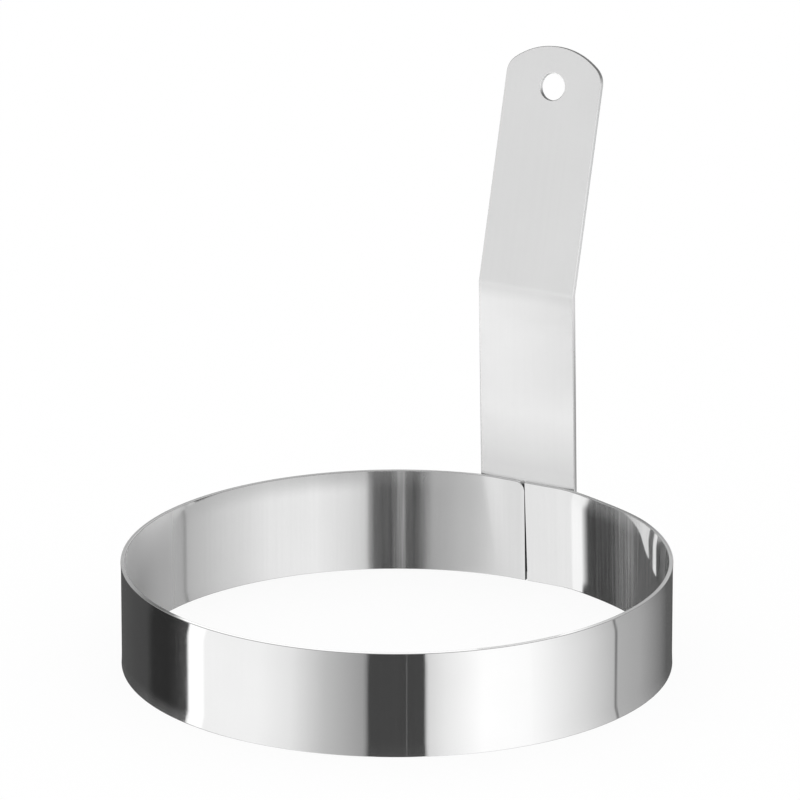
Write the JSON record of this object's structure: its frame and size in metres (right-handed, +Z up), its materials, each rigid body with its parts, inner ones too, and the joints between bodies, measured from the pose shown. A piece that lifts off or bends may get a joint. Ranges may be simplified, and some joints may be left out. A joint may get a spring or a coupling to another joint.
{
  "type": "egg ring",
  "caption": "Open polished steel ring with a butt seam and an upright bent strip handle, spot welded on outside, for frying a round egg; a hole near the handle's tip hangs it.",
  "frame": {"origin": "centre of the ring on the plane of its bottom edge, which rests on the pan", "axes": "+Z up along the ring's axis, +Y from the ring's centre towards the handle, +X to the right for someone who looks at the handle across the ring"},
  "size_m": [0.103, 0.1144, 0.1036],
  "materials": {
    "band_steel": "stainless steel sheet, mirror polished, with fine vertical draw marks",
    "handle_steel": "stainless steel strip, bright rolled and softly polished",
    "weld_steel": "resistance welded stainless steel, slightly dull"
  },
  "bodies": {
    "root": {"ring_band": "band_steel", "handle": "handle_steel", "weld_nuggets": "weld_steel"}
  },
  "joints": []
}
